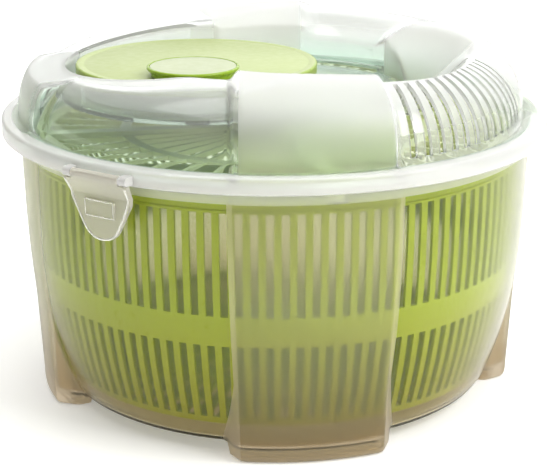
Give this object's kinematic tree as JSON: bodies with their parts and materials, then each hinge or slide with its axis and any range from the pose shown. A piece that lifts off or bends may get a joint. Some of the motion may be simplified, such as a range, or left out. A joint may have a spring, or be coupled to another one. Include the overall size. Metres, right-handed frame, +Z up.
{
  "type": "salad spinner",
  "caption": "Round salad spinner: clear bowl with frosted feet, slotted green basket, and a domed lid with an off-centre crank disc, drain slots and side latches.",
  "frame": {"origin": "centre of the plane that the feet stand on, on the bowl's axis", "axes": "+Z up along the bowl's axis; -Y is the front foot, -X is the side that the crank disc is offset to"},
  "size_m": [0.26, 0.26, 0.171],
  "materials": {
    "bowl_plastic": "clear moulded plastic with frosted foot panels",
    "lid_plastic": "clear moulded plastic with frosted bands",
    "latch_plastic": "translucent moulded plastic",
    "basket_plastic": "satin yellow-green plastic",
    "cover_plastic": "satin pale green plastic",
    "disc_plastic": "satin pale green plastic",
    "knob_plastic": "glossy bright green plastic",
    "white_plastic": "natural white plastic",
    "steel": "stainless steel"
  },
  "bodies": {
    "bowl": {"bowl": "bowl_plastic", "bowl_pivot_pin": "steel"},
    "lid": {"lid_shell": "lid_plastic", "shaft_bush": "white_plastic", "disc_axle": "steel", "disc_screw": "steel", "latch_pins": "steel"},
    "crank": {"crank_disc": "disc_plastic", "ring_gear": "white_plastic", "disc_bush": "white_plastic", "disc_washer": "steel", "knob_pin": "steel"},
    "knob": {"knob": "knob_plastic", "knob_cap": "disc_plastic"},
    "rotor": {"drive_pinion": "white_plastic", "pinion_shaft": "steel", "shaft_circlip": "steel", "cover_hub": "cover_plastic", "basket_cover": "cover_plastic"},
    "basket": {"basket": "basket_plastic", "basket_pivot_cup": "white_plastic"},
    "latch_front": {"latch_front": "latch_plastic"},
    "latch_back": {"latch_back": "latch_plastic"}
  },
  "joints": [
    {"name": "lid_lift", "type": "slide", "parent": "bowl", "child": "lid", "axis": [0, 0, 1], "range_m": [0, 0.12]},
    {"name": "crank_turn", "type": "hinge", "parent": "lid", "child": "crank", "pos_m": [-0.0375, 0, 0.15], "axis": [0, 0, 1], "continuous": true},
    {"name": "knob_spin", "type": "hinge", "parent": "crank", "child": "knob", "pos_m": [-0.04264, -0.03361, 0.158], "axis": [0, 0, 1], "continuous": true},
    {"name": "rotor_spin", "type": "hinge", "parent": "lid", "child": "rotor", "pos_m": [0, 0, 0.14], "axis": [0, 0, 1], "continuous": true},
    {"name": "basket_spin", "type": "hinge", "parent": "bowl", "child": "basket", "pos_m": [0, 0, 0.02], "axis": [0, 0, 1], "continuous": true},
    {"name": "latch_front_swing", "type": "hinge", "parent": "lid", "child": "latch_front", "pos_m": [-0.09036, -0.0969, 0.1296], "axis": [-0.7314, 0.682, 0], "range_deg": [0, 100]},
    {"name": "latch_back_swing", "type": "hinge", "parent": "lid", "child": "latch_back", "pos_m": [0.09036, 0.0969, 0.1296], "axis": [0.7314, -0.682, 0], "range_deg": [0, 100]}
  ],
  "couplings": [
    {"joint": "rotor_spin", "follows": "crank_turn", "ratio": 4.125},
    {"joint": "basket_spin", "follows": "crank_turn", "ratio": 4.125}
  ]
}
